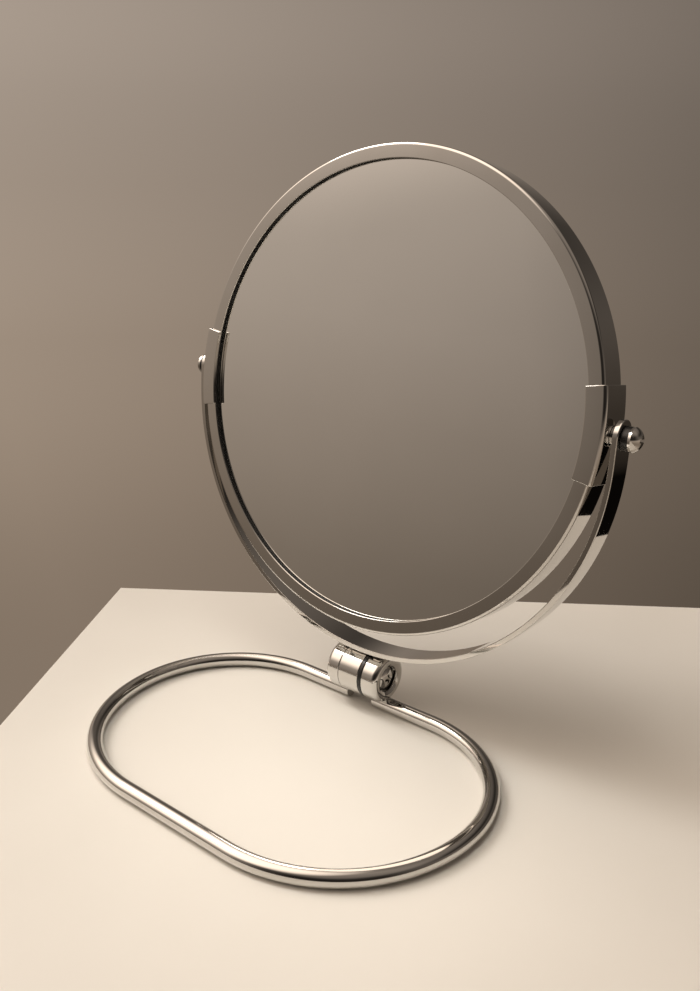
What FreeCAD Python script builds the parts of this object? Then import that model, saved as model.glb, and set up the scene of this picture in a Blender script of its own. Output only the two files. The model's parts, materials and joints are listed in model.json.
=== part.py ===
import FreeCAD, Part
import math
import os
import Sketcher

# A double-sided round make-up mirror on a bent wire stand, in millimetres.
# A wire loop lies on the table. A friction hinge on the loop's back run carries a flat band bent
# into a yoke, and the round head turns between the yoke's two arms.
#
# Frame: +Z up, -Y towards the user, origin on the table under the middle of the base loop.

# Every size that can be set by itself: name, value, what it is.
SIZES = [
    ("wire_radius", 3.0, "base wire, half its thickness"),
    ("loop_half_width", 80.3, "middle of the loop to the wire's centreline, along X"),
    ("back_corner_radius", 48.5, "centreline radius of the two corners beside the hinge"),
    ("front_corner_radius", 55.5, "centreline radius of the two corners at the front"),
    ("wire_end_setback", 0.3, "from a knuckle's inner face to the wire's cut end"),
    ("barrel_radius", 9.9, "outside of the hinge barrel"),
    ("cope_depth", 1.4, "how far the knuckles are coped down over the wire"),
    ("barrel_offset", -3.0, "middle of the centre knuckle, along X"),
    ("centre_knuckle_length", 9.7, "knuckle that the yoke stands on"),
    ("left_knuckle_length", 6.9, "blind knuckle that the bolt screws into"),
    ("right_knuckle_length", 7.2, "knuckle with the counterbore"),
    ("left_end_rounding", 2.2, "rounded end of the left knuckle"),
    ("right_end_rounding", 1.4, "rounded end of the right knuckle"),
    ("seam_washer_thickness", 0.2, "thin washer in the left seam"),
    ("seam_washer_inset", 0.5, "seam washer, inside the barrel's surface"),
    ("friction_ring_thickness", 1.9, "friction ring in the right seam"),
    ("friction_ring_proud", 0.1, "friction ring, outside the barrel's surface"),
    ("hinge_side_play", 0.03, "gap on each side of the centre knuckle"),
    ("hinge_running_gap", 0.07, "radial gap between the bolt and the centre knuckle"),
    ("bolt_radius", 2.5, "hinge bolt's shank"),
    ("bolt_clearance", 0.1, "radial gap round the bolt in the other pieces"),
    ("bolt_head_radius", 4.5, "hinge bolt's head"),
    ("bolt_head_height", 2.6, "hinge bolt's head, edge and dome together"),
    ("bolt_head_edge", 1.2, "straight edge of the hinge bolt's head"),
    ("bolt_head_recess", 0.4, "top of the head below the knuckle's end face"),
    ("bolt_engagement", 5.0, "length of thread in the left knuckle"),
    ("bolt_tip_space", 0.6, "free space past the bolt's tip"),
    ("counterbore_gap", 0.9, "radial gap round the bolt's head"),
    ("spring_washer_thickness", 0.8, "washer under the bolt's head"),
    ("spring_washer_inset", 0.5, "washer's edge inside the counterbore"),
    ("yoke_thickness", 2.0, "yoke's flat band"),
    ("yoke_width", 11.1, "yoke's flat band"),
    ("yoke_arc_drop", 8.1, "centre of the yoke's round part, below the pivot"),
    ("arm_top_rise", 6.0, "top of each arm above the pivot"),
    ("yoke_clearance", 0.3, "between the band and the hinge barrel, where the yoke turns past it"),
    ("seat_width", 6.0, "raised seat on the centre knuckle, under the band"),
    ("yoke_lean", 3.6, "yoke's lean back from vertical, in degrees"),
    ("head_lean", 8.55, "head's lean back from vertical, in degrees"),
    ("rim_radius", 90.5, "outside of the rim hoop"),
    ("rim_depth", 13.5, "rim hoop, front to back"),
    ("rim_sheet", 0.6, "rim hoop's sheet"),
    ("rim_corner_radius", 1.1, "outside corners of the rim's channel"),
    ("lip_width", 5.5, "rim's lip, over the glass"),
    ("rim_joint_gap", 0.4, "gap between the hoop's two ends, under the right clip"),
    ("rim_joint_rise", 8.0, "gap's height above the pivot"),
    ("seal_thickness", 1.2, "seal between a lip and its glass"),
    ("seal_setback", 0.3, "seal's edge behind the lip's edge"),
    ("glass_thickness", 2.0, "both glasses"),
    ("glass_side_gap", 0.2, "between the glass's edge and the pivot nuts"),
    ("magnifier_radius", 1000.0, "radius of curvature of the rear glass"),
    ("core_web", 1.0, "web of the core disc"),
    ("core_wall", 3.4, "wall of the core disc, which holds the glasses apart"),
    ("core_clearance", 0.05, "between the core disc's wall and the rear glass"),
    ("clip_wall", 1.25, "saddle clip's sheet"),
    ("clip_clearance", 0.05, "between a clip and the rim"),
    ("clip_angle", 20.5, "arc that a clip covers, in degrees"),
    ("clip_corner_radius", 1.3, "outside corners of a clip"),
    ("clip_lip_reach", 0.5, "clip's edge past the lip's edge, towards the middle"),
    ("spacer_thickness", 1.65, "spacer between a clip and an arm"),
    ("spacer_radius", 3.6, "spacer between a clip and an arm"),
    ("pivot_side_play", 0.05, "gap on each side of an arm"),
    ("screw_radius", 2.0, "pivot screw's shank"),
    ("screw_running_gap", 0.07, "radial gap between a pivot screw and its arm"),
    ("screw_clearance", 0.1, "radial gap round a pivot screw in the other pieces"),
    ("screw_head_radius", 4.2, "pivot screw's head"),
    ("screw_head_height", 3.4, "pivot screw's head, edge and dome together"),
    ("screw_head_edge", 1.3, "straight edge of the pivot screw's head"),
    ("tension_washer_thickness", 2.8, "black washer under a pivot screw's head"),
    ("tension_washer_inset", 0.1, "black washer's edge inside the screw's head"),
    ("nut_across", 7.0, "square nut, across its flats"),
    ("nut_thickness", 2.2, "square nut"),
    ("nut_clearance", 0.02, "between a nut's corners and the rim"),
    ("recess_width", 1.0, "slots of a cross recess"),
    ("recess_depth", 1.5, "depth of a cross recess below the dome"),
    ("recess_share", 0.62, "length of a cross recess, as a share of the head's width"),
]

PARTS_FOLDER = "parts"
CUTTER_MARGIN = 5.0  # how far a cutting outline runs past what it cuts


# A number that also carries the spreadsheet expression it comes from.
class Size:
    def __init__(self, value, text):
        self.value = value
        self.text = text

    def __add__(self, other):
        return joined(self, "+", other, self.value + number(other))

    def __radd__(self, other):
        return joined(other, "+", self, number(other) + self.value)

    def __sub__(self, other):
        return joined(self, "-", other, self.value - number(other))

    def __rsub__(self, other):
        return joined(other, "-", self, number(other) - self.value)

    def __mul__(self, other):
        return joined(self, "*", other, self.value * number(other))

    def __rmul__(self, other):
        return joined(other, "*", self, number(other) * self.value)

    def __truediv__(self, other):
        return joined(self, "/", other, self.value / number(other))

    def __neg__(self):
        return joined(-1.0, "*", self, -self.value)


def number(thing):
    return thing.value if isinstance(thing, Size) else float(thing)


def text(thing):
    return thing.text if isinstance(thing, Size) else repr(float(thing))


def joined(left, sign, right, value):
    return Size(value, f"({text(left)} {sign} {text(right)})")


def root(size):
    return Size(math.sqrt(size.value), f"sqrt({size.text})")


def sine(angle):
    return Size(math.sin(math.radians(angle.value)), f"sin({angle.text} * 1 deg)")


def cosine(angle):
    return Size(math.cos(math.radians(angle.value)), f"cos({angle.text} * 1 deg)")


# How deep a circle's arc stands over a chord whose half-length is given.
def sagitta(radius, half_chord):
    return radius - root(radius * radius - half_chord * half_chord)


doc = FreeCAD.newDocument("tabletop_mirror")
sheet = doc.addObject("Spreadsheet::Sheet", "Sizes")
size = {}
for row, (name, value, meaning) in enumerate(SIZES, start=1):
    sheet.set(f"A{row}", name)
    sheet.set(f"B{row}", str(value))
    sheet.set(f"C{row}", meaning)
    sheet.setAlias(f"B{row}", name)
    size[name] = Size(value, f"Sizes.{name}")
doc.recompute()


# ---------------------------------------------------------------- sketches and features

def origin_feature(body, role):
    for feature in body.Origin.OriginFeatures:
        if feature.Role == role:
            return feature
    raise RuntimeError(f"{body.Label} has no {role}")


def new_body(label, base=None, lean=None):
    body = doc.addObject("PartDesign::Body", label)
    body.Label = label
    if lean is not None:
        body.Placement.Rotation = FreeCAD.Rotation(FreeCAD.Vector(-1, 0, 0), lean.value)
        body.setExpression("Placement.Rotation.Angle", lean.text)
    for axis, place in zip("xyz", base or ()):
        body.setExpression(f"Placement.Base.{axis}", text(place))
    return body


def new_sketch(body, name, plane, offset=None):
    sketch = body.newObject("Sketcher::SketchObject", f"{body.Name}_{name}")
    sketch.AttachmentSupport = [(origin_feature(body, plane), "")]
    sketch.MapMode = "FlatFace"
    if offset is not None:
        sketch.AttachmentOffset = FreeCAD.Placement(
            FreeCAD.Vector(0, 0, number(offset)), FreeCAD.Rotation())
        sketch.setExpression("AttachmentOffset.Base.z", text(offset))
    return sketch


def bind(sketch, kind, geometry, *place_and_size):
    *place, wanted = place_and_size
    constraint = Sketcher.Constraint(kind, *geometry, *place, number(wanted))
    index = sketch.addConstraint(constraint)
    sketch.setExpression(f"Constraints[{index}]", text(wanted))


def fix_point(sketch, geometry, point, x, y):
    bind(sketch, "DistanceX", (-1, 1, geometry, point), x)
    bind(sketch, "DistanceY", (-1, 1, geometry, point), y)


def circle(sketch, x, y, radius):
    centre = FreeCAD.Vector(number(x), number(y), 0)
    shape = Part.Circle(centre, FreeCAD.Vector(0, 0, 1), number(radius))
    index = sketch.addGeometry(shape, False)
    fix_point(sketch, index, 3, x, y)
    bind(sketch, "Radius", (index,), radius)


# Draws corners joined by lines. arcs[i] = (centre x, centre y, turn) bends the run that leaves
# corner i; turn is 1 for anticlockwise and -1 for clockwise.
def outline(sketch, corners, arcs=None, closed=True):
    arcs = arcs or {}
    runs = len(corners) if closed else len(corners) - 1
    first_point = []
    last_point = []
    indices = []
    for i in range(runs):
        start = FreeCAD.Vector(number(corners[i][0]), number(corners[i][1]), 0)
        following = corners[(i + 1) % len(corners)]
        end = FreeCAD.Vector(number(following[0]), number(following[1]), 0)
        if i not in arcs:
            indices.append(sketch.addGeometry(Part.LineSegment(start, end), False))
            first_point.append(1)
            last_point.append(2)
            continue
        middle = FreeCAD.Vector(number(arcs[i][0]), number(arcs[i][1]), 0)
        if arcs[i][2] < 0:
            start, end = end, start
        angles = [math.atan2(p.y - middle.y, p.x - middle.x) for p in (start, end)]
        if angles[1] <= angles[0]:
            angles[1] += 2 * math.pi
        shape = Part.Circle(middle, FreeCAD.Vector(0, 0, 1), (start - middle).Length)
        indices.append(sketch.addGeometry(Part.ArcOfCircle(shape, *angles), False))
        first_point.append(1 if arcs[i][2] > 0 else 2)
        last_point.append(2 if arcs[i][2] > 0 else 1)
    for i, index in enumerate(indices):
        fix_point(sketch, index, first_point[i], *corners[i])
        if closed or i + 1 < runs:
            after = (i + 1) % runs
            sketch.addConstraint(Sketcher.Constraint(
                "Coincident", index, last_point[i], indices[after], first_point[after]))
        else:
            fix_point(sketch, index, last_point[i], *corners[i + 1])
        if i in arcs:
            start, following = corners[i], corners[(i + 1) % len(corners)]
            across = abs(number(following[0]) - number(start[0]))
            upward = abs(number(following[1]) - number(start[1]))
            if across >= upward:
                bind(sketch, "DistanceY", (-1, 1, index, 3), arcs[i][1])
            else:
                bind(sketch, "DistanceX", (-1, 1, index, 3), arcs[i][0])


def new_feature(body, kind, name, profile):
    feature = body.newObject(f"PartDesign::{kind}", f"{body.Name}_{name}")
    feature.Profile = profile
    body.Tip = feature
    return feature


def revolve(body, sketch, axis, angle=None):
    feature = new_feature(body, "Revolution", "turned", sketch)
    feature.ReferenceAxis = (sketch, [axis])
    if angle is not None:
        feature.Midplane = True
        feature.setExpression("Angle", angle.text)
    return feature


def pad(body, sketch, length, both_ways=False):
    feature = new_feature(body, "Pad", "pad", sketch)
    feature.Midplane = both_ways
    feature.Length = number(length)
    feature.setExpression("Length", text(length))
    return feature


def cut_through(body, name, sketch):
    feature = new_feature(body, "Pocket", name, sketch)
    feature.Type = "ThroughAll"
    feature.Midplane = True
    return feature


def cut_to(body, name, sketch, length, both_ways=False, towards_plus=False):
    feature = new_feature(body, "Pocket", name, sketch)
    feature.Midplane = both_ways
    feature.Reversed = towards_plus
    feature.Length = number(length)
    feature.setExpression("Length", text(length))
    return feature


# A flat ring about the X axis, from x_start and as thick as given, towards +X.
def flat_ring(label, base, lean, x_start, thickness, inner, outer):
    body = new_body(label, base, lean)
    sketch = new_sketch(body, "section", "YZ_Plane", x_start)
    circle(sketch, 0, 0, outer)
    circle(sketch, 0, 0, inner)
    pad(body, sketch, thickness)
    return body


# A domed screw along X. side is 1 when its head faces +X, and -1 when it faces -X.
def domed_screw(label, base, lean, side, tip, head_base, shank, head, height, edge):
    body = new_body(label, base, lean)
    top = head_base + height
    dome_start = head_base + edge
    rise = height - edge
    dome_centre = top - (head * head + rise * rise) / (2 * rise)
    profile = new_sketch(body, "profile", "XY_Plane")
    corners = [(tip, 0), (tip, shank), (head_base, shank), (head_base, head), (dome_start, head), (top, 0)]
    outline(profile, [(side * x, y) for x, y in corners], {4: (side * dome_centre, 0, -side)})
    revolve(body, profile, "H_Axis")
    doc.recompute()
    recess = new_sketch(body, "recess", "YZ_Plane", side * top)
    slot = size["recess_width"] / 2
    reach = size["recess_share"] * head
    outline(recess, [
        (reach, -slot), (reach, slot), (slot, slot), (slot, reach), (-slot, reach), (-slot, slot),
        (-reach, slot), (-reach, -slot), (-slot, -slot), (-slot, -reach), (slot, -reach), (slot, -slot)])
    cut_to(body, "cross", recess, size["recess_depth"], towards_plus=side < 0)
    return body


# ---------------------------------------------------------------- places shared by the pieces

loop_depth = size["back_corner_radius"] + size["front_corner_radius"]
back_run_y = loop_depth / 2
hinge_z = 2 * size["wire_radius"] + size["barrel_radius"] - size["cope_depth"]
hinge = (0, back_run_y, hinge_z)

centre_half = size["centre_knuckle_length"] / 2
centre_left_x = size["barrel_offset"] - centre_half
centre_right_x = size["barrel_offset"] + centre_half
left_face_x = centre_left_x - size["hinge_side_play"] - size["seam_washer_thickness"]
ring_x = centre_right_x + size["hinge_side_play"]
right_face_x = ring_x + size["friction_ring_thickness"]
right_end_x = right_face_x + size["right_knuckle_length"]
bolt_hole = size["bolt_radius"] + size["bolt_clearance"]

half_depth = size["rim_depth"] / 2
clip_outer = size["rim_radius"] + size["clip_clearance"] + size["clip_wall"]
yoke_inner = clip_outer + size["spacer_thickness"] + size["pivot_side_play"]
yoke_outer = yoke_inner + size["yoke_thickness"]
pivot_rise = size["yoke_arc_drop"] + yoke_outer + size["barrel_radius"] + size["yoke_clearance"]
pivot = (
    0,
    back_run_y + pivot_rise * sine(size["yoke_lean"]),
    hinge_z + pivot_rise * cosine(size["yoke_lean"]),
)
screw_hole = size["screw_radius"] + size["screw_clearance"]
washer_x = yoke_outer + size["pivot_side_play"]
screw_head_x = washer_x + size["tension_washer_thickness"]

rim_inner = size["rim_radius"] - size["rim_sheet"]
nut_outer_x = rim_inner - sagitta(rim_inner, size["nut_across"] / 2) - size["nut_clearance"]
nut_inner_x = nut_outer_x - size["nut_thickness"]
glass_radius = nut_inner_x - size["glass_side_gap"]
lip_radius = size["rim_radius"] - size["lip_width"]
seal_radius = lip_radius + size["seal_setback"]
lip_back = half_depth - size["rim_sheet"]
glass_seat = lip_back - size["seal_thickness"]


# ---------------------------------------------------------------- the base

# Round wire bent into a rounded loop; its ends stop under the hinge's two outer knuckles.
def base_loop():
    body = new_body("base_loop")
    width = size["loop_half_width"]
    back, front = size["back_corner_radius"], size["front_corner_radius"]
    side_y = back_run_y - back
    left_end = left_face_x - size["wire_end_setback"]
    right_end = right_face_x + size["wire_end_setback"]
    path = new_sketch(body, "path", "XY_Plane", size["wire_radius"])
    corners = [
        (left_end, back_run_y), (back - width, back_run_y), (-width, side_y), (front - width, -back_run_y),
        (width - front, -back_run_y), (width, side_y), (width - back, back_run_y), (right_end, back_run_y)]
    outline(path, corners, {
        1: (back - width, side_y, 1), 2: (front - width, side_y, 1),
        4: (width - front, side_y, 1), 5: (width - back, side_y, 1)}, closed=False)
    section = new_sketch(body, "section", "YZ_Plane", left_end)
    circle(section, back_run_y, size["wire_radius"], size["wire_radius"])
    doc.recompute()
    pipe = new_feature(body, "AdditivePipe", "bent_wire", section)
    pipe.Spine = path
    return body


# Cuts the round channel by which a knuckle sits on the base wire.
def cope_over_wire(body):
    doc.recompute()
    channel = new_sketch(body, "channel", "YZ_Plane")
    circle(channel, 0, size["wire_radius"] - hinge_z, size["wire_radius"])
    cut_through(body, "cope", channel)


def left_knuckle():
    body = new_body("left_knuckle", hinge)
    end = left_face_x - size["left_knuckle_length"]
    rounding = size["left_end_rounding"]
    barrel = size["barrel_radius"]
    thread = size["bolt_radius"]
    blind = left_face_x - size["bolt_engagement"] - size["bolt_tip_space"]
    profile = new_sketch(body, "profile", "XY_Plane")
    outline(profile, [
        (end, 0), (end, barrel - rounding), (end + rounding, barrel), (left_face_x, barrel),
        (left_face_x, thread), (blind, thread), (blind, 0)],
        {1: (end + rounding, barrel - rounding, -1)})
    revolve(body, profile, "H_Axis")
    cope_over_wire(body)
    return body


def right_knuckle():
    body = new_body("right_knuckle", hinge)
    rounding = size["right_end_rounding"]
    barrel = size["barrel_radius"]
    counterbore = size["bolt_head_radius"] + size["counterbore_gap"]
    floor_x = (right_end_x - size["bolt_head_recess"] - size["bolt_head_height"]
               - size["spring_washer_thickness"])
    profile = new_sketch(body, "profile", "XY_Plane")
    outline(profile, [
        (right_face_x, bolt_hole), (right_face_x, barrel), (right_end_x - rounding, barrel),
        (right_end_x, barrel - rounding), (right_end_x, counterbore), (floor_x, counterbore),
        (floor_x, bolt_hole)],
        {2: (right_end_x - rounding, barrel - rounding, -1)})
    revolve(body, profile, "H_Axis")
    cope_over_wire(body)
    return body


def hinge_bolt():
    head_base = right_end_x - size["bolt_head_recess"] - size["bolt_head_height"]
    return domed_screw(
        "hinge_bolt", hinge, None, 1, left_face_x - size["bolt_engagement"], head_base,
        size["bolt_radius"], size["bolt_head_radius"], size["bolt_head_height"], size["bolt_head_edge"])


def hinge_washers():
    counterbore = size["bolt_head_radius"] + size["counterbore_gap"]
    spring_x = (right_end_x - size["bolt_head_recess"] - size["bolt_head_height"]
                - size["spring_washer_thickness"])
    return [
        flat_ring("seam_washer", hinge, None, left_face_x, size["seam_washer_thickness"],
                  bolt_hole, size["barrel_radius"] - size["seam_washer_inset"]),
        flat_ring("friction_ring", hinge, None, ring_x, size["friction_ring_thickness"],
                  bolt_hole, size["barrel_radius"] + size["friction_ring_proud"]),
        flat_ring("spring_washer", hinge, None, spring_x, size["spring_washer_thickness"],
                  bolt_hole, counterbore - size["spring_washer_inset"]),
    ]


# ---------------------------------------------------------------- the yoke

def centre_knuckle():
    body = new_body("centre_knuckle", pivot, size["yoke_lean"])
    section = new_sketch(body, "section", "YZ_Plane", centre_left_x)
    circle(section, 0, -pivot_rise, size["barrel_radius"])
    pad(body, section, size["centre_knuckle_length"])
    doc.recompute()
    above = size["barrel_radius"] + CUTTER_MARGIN / 2 - pivot_rise
    block = new_sketch(body, "block", "XZ_Plane")
    outline(block, [
        (centre_left_x, -pivot_rise), (centre_right_x, -pivot_rise), (centre_right_x, above),
        (centre_left_x, above)])
    raised = new_feature(body, "Pad", "raised_seat", block)
    raised.Midplane = True
    raised.setExpression("Length", size["seat_width"].text)
    doc.recompute()
    reach = size["centre_knuckle_length"] + CUTTER_MARGIN
    seat_z = -size["yoke_arc_drop"] - root(yoke_outer * yoke_outer - reach * reach)
    seat = new_sketch(body, "seat", "XZ_Plane")
    outline(seat, [
        (-reach, seat_z), (reach, seat_z), (reach, seat_z + CUTTER_MARGIN), (-reach, seat_z + CUTTER_MARGIN)],
        {0: (0, -size["yoke_arc_drop"], 1)})
    cut_to(body, "saddle", seat, size["yoke_width"], both_ways=True)
    doc.recompute()
    bore = new_sketch(body, "bore", "YZ_Plane")
    circle(bore, 0, -pivot_rise, size["bolt_radius"] + size["hinge_running_gap"])
    cut_through(body, "bolt_bore", bore)
    return body


# Flat band bent round the head, with straight arms that end round and carry the pivots.
def yoke_band():
    body = new_body("yoke_band", pivot, size["yoke_lean"])
    low, top = -size["yoke_arc_drop"], size["arm_top_rise"]
    front = new_sketch(body, "front", "XZ_Plane")
    outline(front, [
        (-yoke_outer, top), (-yoke_outer, low), (yoke_outer, low), (yoke_outer, top),
        (yoke_inner, top), (yoke_inner, low), (-yoke_inner, low), (-yoke_inner, top)],
        {1: (0, low, 1), 5: (0, low, -1)})
    pad(body, front, size["yoke_width"], both_ways=True)
    doc.recompute()
    half = size["yoke_width"] / 2
    shoulder = top - half
    wide = half + CUTTER_MARGIN
    ends = new_sketch(body, "ends", "YZ_Plane")
    outline(ends, [
        (-half, shoulder), (half, shoulder), (wide, shoulder), (wide, top + CUTTER_MARGIN),
        (-wide, top + CUTTER_MARGIN), (-wide, shoulder)],
        {0: (0, shoulder, -1)})
    cut_through(body, "round_ends", ends)
    doc.recompute()
    holes = new_sketch(body, "holes", "YZ_Plane")
    circle(holes, 0, 0, size["screw_radius"] + size["screw_running_gap"])
    cut_through(body, "pivot_holes", holes)
    return body


# ---------------------------------------------------------------- the head

# Rolled channel whose lips hold both glasses; its ends meet under the right clip.
def rim_hoop():
    body = new_body("rim_hoop", pivot, size["head_lean"])
    outer, inner = size["rim_radius"], rim_inner
    corner = size["rim_corner_radius"]
    bend = outer - corner
    face, straight = half_depth, half_depth - corner
    profile = new_sketch(body, "profile", "XY_Plane")
    outline(profile, [
        (lip_radius, -face), (bend, -face), (outer, -straight), (outer, straight), (bend, face),
        (lip_radius, face), (lip_radius, lip_back), (bend, lip_back), (inner, straight),
        (inner, -straight), (bend, -lip_back), (lip_radius, -lip_back)],
        {1: (bend, -straight, 1), 3: (bend, straight, 1), 7: (bend, straight, -1), 9: (bend, -straight, -1)})
    revolve(body, profile, "V_Axis")
    doc.recompute()
    holes = new_sketch(body, "holes", "YZ_Plane")
    circle(holes, 0, 0, screw_hole)
    cut_through(body, "pivot_holes", holes)
    doc.recompute()
    joint = new_sketch(body, "joint", "YZ_Plane")
    wide = half_depth + CUTTER_MARGIN
    low, high = size["rim_joint_rise"], size["rim_joint_rise"] + size["rim_joint_gap"]
    outline(joint, [(-wide, low), (wide, low), (wide, high), (-wide, high)])
    cut_to(body, "joint_gap", joint, outer + CUTTER_MARGIN, towards_plus=True)
    return body


# A ring about the head's own axis, between two radii and two places along that axis.
def turned_ring(label, inner, outer, front_y, back_y):
    body = new_body(label, pivot, size["head_lean"])
    profile = new_sketch(body, "profile", "XY_Plane")
    outline(profile, [(inner, front_y), (outer, front_y), (outer, back_y), (inner, back_y)])
    revolve(body, profile, "V_Axis")
    return body


def front_glass():
    return turned_ring("front_glass", 0, glass_radius, -glass_seat, size["glass_thickness"] - glass_seat)


def seals():
    return [
        turned_ring("front_seal", seal_radius, glass_radius, -lip_back, -glass_seat),
        turned_ring("rear_seal", seal_radius, glass_radius, glass_seat, lip_back),
    ]


# Middle of the rear glass's hollow face, and the height of its inner face at a radius.
magnifier_low = glass_seat - sagitta(size["magnifier_radius"], glass_radius)


def magnifier_inner(radius):
    whole = size["magnifier_radius"] + size["glass_thickness"]
    return magnifier_low + size["magnifier_radius"] - root(whole * whole - radius * radius)


def rear_glass():
    body = new_body("rear_glass", pivot, size["head_lean"])
    centre = magnifier_low + size["magnifier_radius"]
    profile = new_sketch(body, "profile", "XY_Plane")
    outline(profile, [
        (0, magnifier_low), (0, magnifier_low - size["glass_thickness"]),
        (glass_radius, magnifier_inner(glass_radius)), (glass_radius, glass_seat)],
        {1: (0, centre, 1), 3: (0, centre, -1)})
    revolve(body, profile, "V_Axis")
    return body


# Moulded disc between the glasses: a thin web behind the flat glass, and a wall round its edge.
def core_disc():
    body = new_body("core_disc", pivot, size["head_lean"])
    front = size["glass_thickness"] - glass_seat
    web = front + size["core_web"]
    wall = glass_radius - size["core_wall"]
    gap = size["core_clearance"]
    profile = new_sketch(body, "profile", "XY_Plane")
    outline(profile, [
        (0, front), (glass_radius, front), (glass_radius, magnifier_inner(glass_radius) - gap),
        (wall, magnifier_inner(wall) - gap), (wall, web), (0, web)])
    revolve(body, profile, "V_Axis")
    return body


# Saddle clip folded over the rim's front, outside and back at a pivot.
def rim_clip(label, side):
    body = new_body(label, pivot, size["head_lean"])
    seat = half_depth + size["clip_clearance"]
    face = seat + size["clip_wall"]
    corner = size["clip_corner_radius"]
    edge = lip_radius - size["clip_lip_reach"]
    inner = size["rim_radius"] + size["clip_clearance"]
    bend, straight = clip_outer - corner, face - corner
    corners = [
        (edge, -face), (bend, -face), (clip_outer, -straight), (clip_outer, straight), (bend, face),
        (edge, face), (edge, seat), (inner, seat), (inner, -seat), (edge, -seat)]
    profile = new_sketch(body, "profile", "XY_Plane")
    outline(profile, [(side * x, y) for x, y in corners], {
        1: (side * bend, -straight, side), 3: (side * bend, straight, side)})
    revolve(body, profile, "V_Axis", size["clip_angle"])
    doc.recompute()
    hole = new_sketch(body, "hole", "YZ_Plane")
    circle(hole, 0, 0, screw_hole)
    cut_through(body, "pivot_hole", hole)
    return body


def square_nut(label, side):
    body = new_body(label, pivot, size["head_lean"])
    half = size["nut_across"] / 2
    start = nut_inner_x if side > 0 else -nut_outer_x
    section = new_sketch(body, "section", "YZ_Plane", start)
    outline(section, [(-half, -half), (half, -half), (half, half), (-half, half)])
    circle(section, 0, 0, size["screw_radius"])
    pad(body, section, size["nut_thickness"])
    return body


# The screw, washer, spacer, clip and nut of one pivot.
def pivot_pieces(word, side):
    spacer = clip_outer if side > 0 else -clip_outer - size["spacer_thickness"]
    washer = washer_x if side > 0 else -screw_head_x
    return [
        rim_clip(f"{word}_clip", side),
        square_nut(f"{word}_pivot_nut", side),
        flat_ring(f"{word}_spacer", pivot, size["head_lean"], spacer, size["spacer_thickness"],
                  screw_hole, size["spacer_radius"]),
        flat_ring(f"{word}_tension_washer", pivot, size["head_lean"], washer,
                  size["tension_washer_thickness"], screw_hole,
                  size["screw_head_radius"] - size["tension_washer_inset"]),
        domed_screw(f"{word}_pivot_screw", pivot, size["head_lean"], side, nut_inner_x, screw_head_x,
                    size["screw_radius"], size["screw_head_radius"], size["screw_head_height"],
                    size["screw_head_edge"]),
    ]


# ---------------------------------------------------------------- build, check and write

pieces = [base_loop(), left_knuckle(), right_knuckle(), hinge_bolt()]
pieces += hinge_washers()
pieces += [centre_knuckle(), yoke_band()]
pieces += [rim_hoop(), front_glass(), rear_glass(), core_disc()]
pieces += seals()
for word, side in (("left", -1), ("right", 1)):
    pieces += pivot_pieces(word, side)
doc.recompute()

for item in doc.Objects:
    if "Invalid" in item.State or "Error" in item.State:
        raise RuntimeError(f"{item.Label} failed: {item.State}")
    if item.TypeId == "PartDesign::Pocket":
        if item.Shape.Volume >= item.BaseFeature.Shape.Volume:
            raise RuntimeError(f"{item.Label} cuts nothing")
for piece in pieces:
    if piece.Shape.isNull() or not piece.Shape.isValid() or len(piece.Shape.Solids) != 1:
        raise RuntimeError(f"{piece.Label} is not one valid solid")

os.makedirs(PARTS_FOLDER, exist_ok=True)
for piece in pieces:
    piece.Shape.exportStep(os.path.join(PARTS_FOLDER, f"{piece.Label}.step"))
    print(f"{piece.Label}: {piece.Shape.Volume / 1000:.2f} cm3")
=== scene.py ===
import json
import math

import bmesh
import bpy
from mathutils import Matrix, Vector


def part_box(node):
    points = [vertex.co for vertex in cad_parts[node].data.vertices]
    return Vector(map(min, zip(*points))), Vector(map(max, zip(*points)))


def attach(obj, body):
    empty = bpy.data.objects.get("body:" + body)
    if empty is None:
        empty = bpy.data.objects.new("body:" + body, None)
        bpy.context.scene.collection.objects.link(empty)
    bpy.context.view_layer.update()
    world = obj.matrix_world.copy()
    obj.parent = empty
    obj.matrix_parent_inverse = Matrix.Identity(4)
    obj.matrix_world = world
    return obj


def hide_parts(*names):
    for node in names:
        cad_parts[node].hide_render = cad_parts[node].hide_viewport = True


# A round two-sided mirror on a bent wire stand. Sizes below are in millimetres unless a note
# says otherwise, and mm turns them into Blender's metres.
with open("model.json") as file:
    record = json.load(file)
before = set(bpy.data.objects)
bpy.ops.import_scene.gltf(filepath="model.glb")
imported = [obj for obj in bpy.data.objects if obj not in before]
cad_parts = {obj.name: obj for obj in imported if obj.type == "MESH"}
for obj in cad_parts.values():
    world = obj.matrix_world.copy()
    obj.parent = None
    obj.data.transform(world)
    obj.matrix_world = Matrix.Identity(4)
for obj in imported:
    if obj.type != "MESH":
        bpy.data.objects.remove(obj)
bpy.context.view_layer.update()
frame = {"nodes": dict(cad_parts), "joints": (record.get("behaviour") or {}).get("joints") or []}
mm = 0.001
fullTurn = 2 * math.pi
quarterTurn = math.pi / 2


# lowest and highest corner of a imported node, in millimetres
def span(node):
    low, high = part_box(node)
    return low / mm, high / mm


joints = {joint["name"]: Vector(joint["pos_m"]) / mm for joint in frame["joints"]}
hingeSpot = joints["fold"]
pivotSpot = joints["head_tilt"]
rise = pivotSpot - hingeSpot
yokeLean = math.atan2(rise.y, rise.z)
headLean = math.radians(8.55)

# the places pieces are drawn in: on the table, at the hinge, and leaning at the pivots with the
# yoke or with the head
tablePlace = Matrix.Identity(4)
hingePlace = Matrix.Translation(hingeSpot * mm)
yokePlace = Matrix.Translation(pivotSpot * mm) @ Matrix.Rotation(-yokeLean, 4, "X")
headPlace = Matrix.Translation(pivotSpot * mm) @ Matrix.Rotation(-headLean, 4, "X")
print("frame loaded")

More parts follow.
